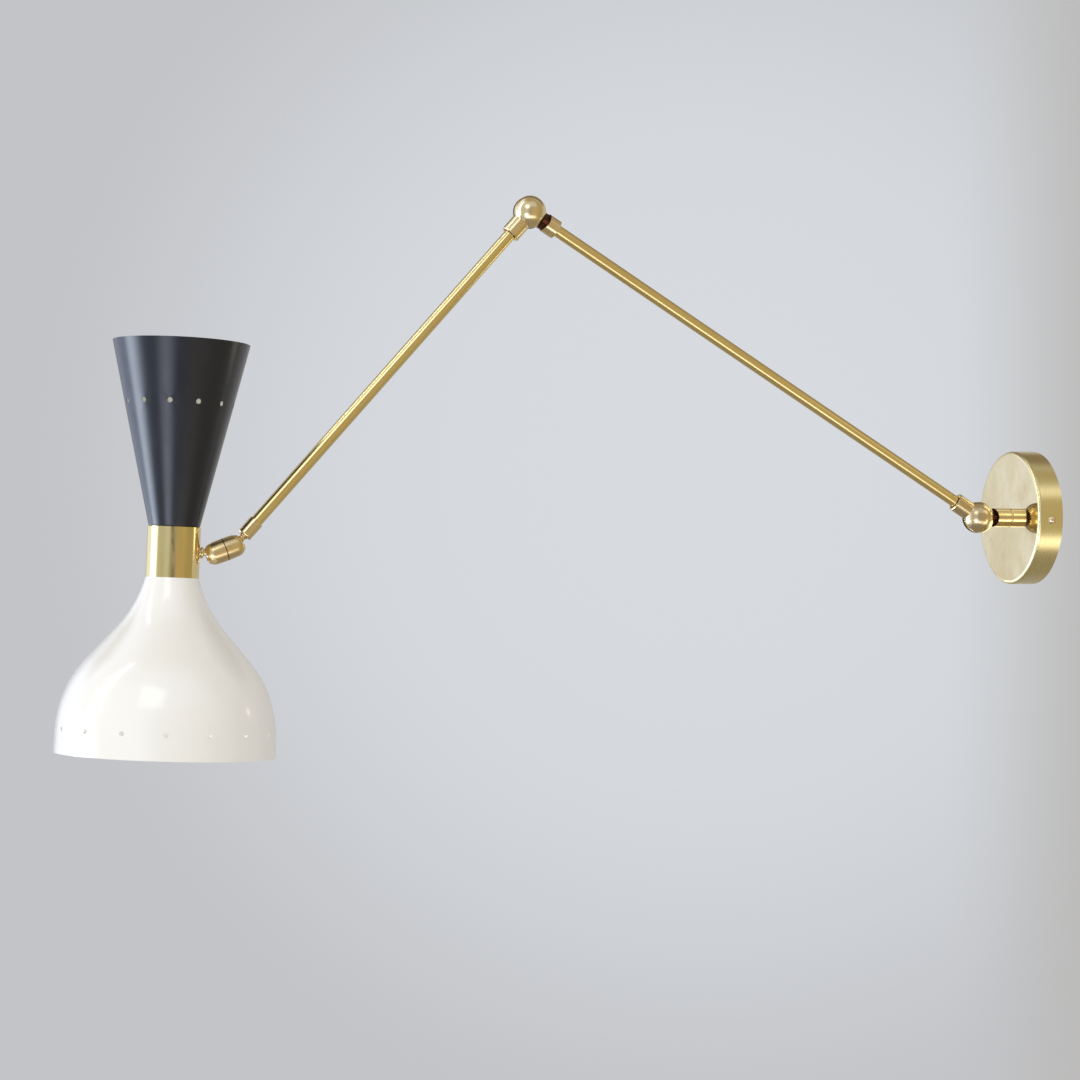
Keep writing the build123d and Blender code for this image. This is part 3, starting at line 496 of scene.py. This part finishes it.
def make_materials():
    gold = colour(0.915, 0.750, 0.375)
    dark_gold = colour(0.850, 0.660, 0.300)
    tan = colour(0.920, 0.765, 0.465)
    brown_tan = colour(0.860, 0.680, 0.385)
    # a darker brass, for the ball at the wall
    darker_tan = colour(0.780, 0.635, 0.390)
    brown = colour(0.680, 0.530, 0.300)
    pale = colour(0.985, 0.845, 0.530)
    cloudy = colour(0.810, 0.650, 0.345)
    barrel = colour(0.860, 0.690, 0.430)
    silvery = colour(0.93, 0.85, 0.68)
    rosy = colour(0.93, 0.74, 0.58)
    band = colour(0.92, 0.77, 0.40)
    dull_band = colour(0.80, 0.65, 0.30)
    washer = colour(0.75, 0.58, 0.33)
    dull_washer = colour(0.62, 0.46, 0.24)
    ball = {"cloud": 0.08, "cloud_scale": 55.0}
    looks = {
        "polished_brass": canopy_brass(pale, cloudy),
        "wall_tongue": brass(tan, gold, 0.16, WALL_AXIS, dark=mouth(WALL_PIVOT, WALL_MOUTH)),
        "wall_ball": brass(darker_tan, brown, 0.17, INNER_AXIS, dark=slot(WALL_PIVOT, WALL_AXIS, 0.6), **ball),
        "elbow_tongue": brass(tan, brown_tan, 0.17, INNER_AXIS, dark=mouth(ELBOW_PIVOT, ELBOW_MOUTH)),
        "elbow_ball": brass(tan, brown_tan, 0.15, OUTER_AXIS,
                            dark=slot(ELBOW_PIVOT, -INNER_AXIS, 0.1), **ball),
        "turned_outer": brass(tan, brown_tan, 0.15, OUTER_AXIS),
        "turned_head": brass(silvery, tan, 0.09, WALL_AXIS),
        "barrel_brass": brass(barrel, dark_gold, 0.21, BARREL_AXIS, cloud=0.06, dark=seam),
        "tube_inner": brass(gold, dark_gold, 0.15, INNER_AXIS, cloud=0.05, stretch=0.2),
        "tube_outer": brass(gold, dark_gold, 0.15, OUTER_AXIS, cloud=0.05, stretch=0.2),
        # the band gets a painted dark reflection down the side that faces the camera
        "band_brass": brass(band, dull_band, 0.05, HEAD_UP, cloud=0.08, cloud_scale=150.0, stretch=0.12,
                            dark=painted_reflection),
        "screw_brass": brass(tan, dark_gold, 0.25, WALL_AXIS),
        "turned_brass": brass(tan, brown_tan, 0.18, WALL_AXIS),
        "tube_brass": brass(gold, dark_gold, 0.15, WALL_AXIS),
        "side_screws": brass(rosy, tan, 0.22, HINGE_AXIS),
        "seat_washer": brass(washer, dull_washer, 0.30, WALL_AXIS),
        "plate_steel": steel(),
        "terminal_ceramic": plain(colour(0.82, 0.81, 0.77), colour(0.76, 0.75, 0.70), 0.18),
        "dark_washer": plain(colour(0.060, 0.032, 0.018), colour(0.045, 0.024, 0.014), 0.5),
        "washer_plastic": plain(colour(0.80, 0.78, 0.72), colour(0.74, 0.72, 0.66), 0.4),
        "wire_brown": plain(colour(0.17, 0.030, 0.014), colour(0.21, 0.042, 0.022), 0.34),
        "holder_plastic": plain(colour(0.022, 0.021, 0.020), colour(0.035, 0.033, 0.031), 0.32),
        "black_enamel": black_enamel(),
        "cream_enamel": cream_enamel(),
    }
    for name, look in looks.items():
        look.name = name
    return looks


# Nodes whose look differs from the one that their record slot has
OWN_LOOK = {
    "canopy_screws": "side_screws",
    "wall_tongue": "wall_tongue",
    "wall_ball": "wall_ball",
    "elbow_tongue": "elbow_tongue",
    "elbow_ball": "elbow_ball",
    "arm_end_collar": "turned_outer",
    "arm_ball_stud": "turned_outer",
    "head_ball_stud": "turned_head",
    "inner_arm_tube": "tube_inner",
    "outer_arm_tube": "tube_outer",
    "stem_seat_washer": "seat_washer",
    "wall_friction_washers": "dark_washer",
    "elbow_friction_washers": "dark_washer",
}


def dress(materials):
    slots = {part["node"]: part["material_slot"] for part in frame["record"]["subparts"]}
    for name, piece in nodes.items():
        look = OWN_LOOK.get(name, slots[name])
        piece.data.materials.clear()
        piece.data.materials.append(materials[look])


def toward(azimuth, elevation):
    """A direction from the lamp's middle, as angles from the line to the camera, left negative."""
    flat = LEVEL_RIGHT * math.sin(azimuth) - LEVEL_FORWARD * math.cos(azimuth)
    return flat * math.cos(elevation) + UP * math.sin(elevation)


def lamp(name, azimuth, elevation, distance, width, height, level,
         tint=(1, 1, 1), upright=False, lights=False):
    """A soft box of a given brightness. One that lights isn't mirrored, and the others only show in gloss."""
    azimuth, elevation = math.radians(azimuth), math.radians(elevation)
    if upright:
        back = toward(azimuth, 0)
        place = MIDDLE + back * distance + UP * distance * math.tan(elevation)
    else:
        back = toward(azimuth, elevation)
        place = MIDDLE + back * distance
    put_lamp(name, place, back, width, height, level, tint, lights)


def put_lamp(name, place, back, width, height, level, tint=(1, 1, 1), lights=False, spread=math.pi):
    """A rectangular light at a place, with its back turned the given way."""
    data = bpy.data.lights.new(name, "AREA")
    data.spread = spread
    data.shape = "RECTANGLE"
    data.size, data.size_y = width, height
    data.energy = level * math.pi * width * height
    data.color = tint
    box = bpy.data.objects.new(name, data)
    box.matrix_world = Matrix.Translation(place) @ back.to_track_quat("Z", "Y").to_matrix().to_4x4()
    box.visible_camera = False
    box.visible_diffuse = lights
    box.visible_glossy = not lights
    bpy.context.scene.collection.objects.link(box)


def make_lamps():
    lamp(*KEY_LIGHT, lights=True)
    for window, tint in WINDOWS:
        lamp(*window, tint, upright=True)
    for box, tint in SOFT_BOXES:
        lamp(*box, tint)
    put_lamp("under_bell", HEAD_CENTRE - UP * BELL_LAMP_DROP, -UP, BELL_LAMP_SIZE, BELL_LAMP_SIZE,
             BELL_LAMP_LEVEL, lights=True, spread=BELL_LAMP_SPREAD)
    for name, side, level in WALL_GLOWS:
        right, front, rise = WALL_GLOW_ASIDE
        back = Vector((right, front, side * rise))
        put_lamp(name, back * WALL_GLOW_DISTANCE, back, *WALL_GLOW_SIZE, level,
                 WALL_GLOW_TINT, spread=WALL_GLOW_SPREAD)


def room_colour(made):
    """Brightness by direction: windows on the left, a dim front, a warm right, a dark top and floor."""
    around = made.vector("NORMALIZE", made.vector("SUBTRACT", made.place, MIDDLE))
    right = made.vector("DOT_PRODUCT", around, LEVEL_RIGHT)
    front = made.vector("DOT_PRODUCT", around, -LEVEL_FORWARD)
    rise = made.maths("DEGREES", made.maths("ARCSINE", made.vector("DOT_PRODUCT", around, UP)))
    azimuth = made.maths("DEGREES", made.maths("ARCTAN2", right, front))
    tone = ROOM_BACK
    for start, end, shade in ROOM_RING:
        tone = made.mix(made.soft(azimuth, start, end), tone, shade)
    high = made.times(made.soft(rise, *ROOM_FRONT_RISE), made.soft(azimuth, *ROOM_FRONT_AZIMUTH))
    high_front = made.times(high, made.soft(front, *ROOM_FRONT_DEPTH))
    tone = made.mix(high_front, tone, ROOM_FRONT)
    high_behind = made.times(made.soft(rise, *ROOM_TOP_BACK_RISE), made.soft(front, *ROOM_TOP_BACK_DEPTH))
    tone = made.mix(high_behind, tone, ROOM_TOP_BACK)
    low_behind = made.times(made.soft(rise, *ROOM_BELOW_BACK_RISE), made.soft(front, *ROOM_BELOW_BACK_DEPTH))
    tone = made.mix(low_behind, tone, ROOM_BELOW_BACK)
    tone = made.mix(made.soft(rise, *ROOM_TOP_RISE), tone, ROOM_TOP)
    tone = made.mix(made.soft(rise, *ROOM_BELOW_RISE), tone, ROOM_BELOW)
    for left, right_end, bottom, top, shade in ROOM_PATCHES:
        across = made.times(made.soft(azimuth, *left), made.soft(azimuth, *reversed(right_end)))
        up_down = made.times(made.soft(rise, *bottom), made.soft(rise, *reversed(top)))
        tone = made.mix(made.times(across, up_down), tone, shade)
    return tone


def make_room():
    """A sphere round everything that only reflections show."""
    mesh = bpy.data.meshes.new("room")
    shell = bmesh.new()
    middle = Matrix.Translation(MIDDLE)
    bmesh.ops.create_icosphere(shell, subdivisions=4, radius=ROOM_RADIUS, matrix=middle)
    shell.to_mesh(mesh)
    shell.free()
    room = bpy.data.objects.new("room", mesh)
    bpy.context.scene.collection.objects.link(room)
    made = Material("room")
    made.show(made.add("ShaderNodeEmission", Color=room_colour(made)).outputs[0])
    made.data.cycles.emission_sampling = "NONE"
    mesh.materials.append(made.data)
    room.visible_camera = False
    room.visible_diffuse = False
    room.visible_transmission = False
    room.visible_shadow = False


def make_world():
    """A backdrop with a glow and a shade for what is seen, and soft light from all round for the rest."""
    world = bpy.data.worlds.new("world")
    world.use_nodes = True
    bpy.context.scene.world = world
    made = Nodes(world.node_tree)
    made.tree.nodes.clear()
    looked = made.add("ShaderNodeTexCoord").outputs["Generated"]
    to_glow = made.vector("DOT_PRODUCT", looked, -toward(-GLOW_TURN, -GLOW_RISE))
    to_right = made.vector("DOT_PRODUCT", looked, LEVEL_RIGHT)
    to_light = made.vector("DOT_PRODUCT", looked, toward(*LIGHT_FROM))
    lit = made.mix(made.soft(to_glow, math.cos(GLOW_REACH), 1.0), BACKDROP, BACKDROP_GLOW)
    seen = made.mix(made.soft(to_right, SHADE_START, SHADE_END), lit, BACKDROP_SHADE)
    ambient = made.mix(made.ramp(to_light, -1.0, 1.0), LIGHT_FAR, LIGHT_NEAR)
    ray = made.add("ShaderNodeLightPath").outputs
    direct = made.maths("MAXIMUM", ray["Is Camera Ray"], ray["Is Glossy Ray"])
    shows = made.maths("MAXIMUM", direct, ray["Is Transmission Ray"])
    light, backdrop = (made.add("ShaderNodeBackground", Color=tone).outputs[0] for tone in (ambient, seen))
    made.add("ShaderNodeOutputWorld", Surface=made.mix_shaders(shows, light, backdrop))


def make_floor():
    """A plain pale floor that fades into the backdrop with distance."""
    half = FLOOR_SIZE / 2
    sides = ((-1, -1), (1, -1), (1, 1), (-1, 1))
    corners = [(x * half + MIDDLE.x, y * half, FLOOR_LEVEL) for x, y in sides]
    mesh = bpy.data.meshes.new("floor")
    mesh.from_pydata(corners, [], [(0, 1, 2, 3)])
    floor = bpy.data.objects.new("floor", mesh)
    bpy.context.scene.collection.objects.link(floor)
    made = Material("floor", roughness=FLOOR_ROUGHNESS)
    pale, paler = colour(0.60, 0.61, 0.63), colour(0.63, 0.64, 0.66)
    made.feed("Base Color", made.mix(made.noise(3.0), pale, paler))
    from_middle = made.vector("SUBTRACT", made.place, (MIDDLE.x, 0, FLOOR_LEVEL))
    fade = made.ramp(made.vector("LENGTH", from_middle), FLOOR_FADE_START, FLOOR_FADE_END)
    clear = made.add("ShaderNodeBsdfTransparent").outputs[0]
    made.show(made.mix_shaders(fade, made.shader.outputs[0], clear))
    mesh.materials.append(made.data)
    floor.visible_glossy = False


def set_colours():
    bpy.context.scene.view_settings.view_transform = "Standard"


make_camera()
dress(make_materials())
make_lamps()
make_room()
make_world()
make_floor()
set_colours()
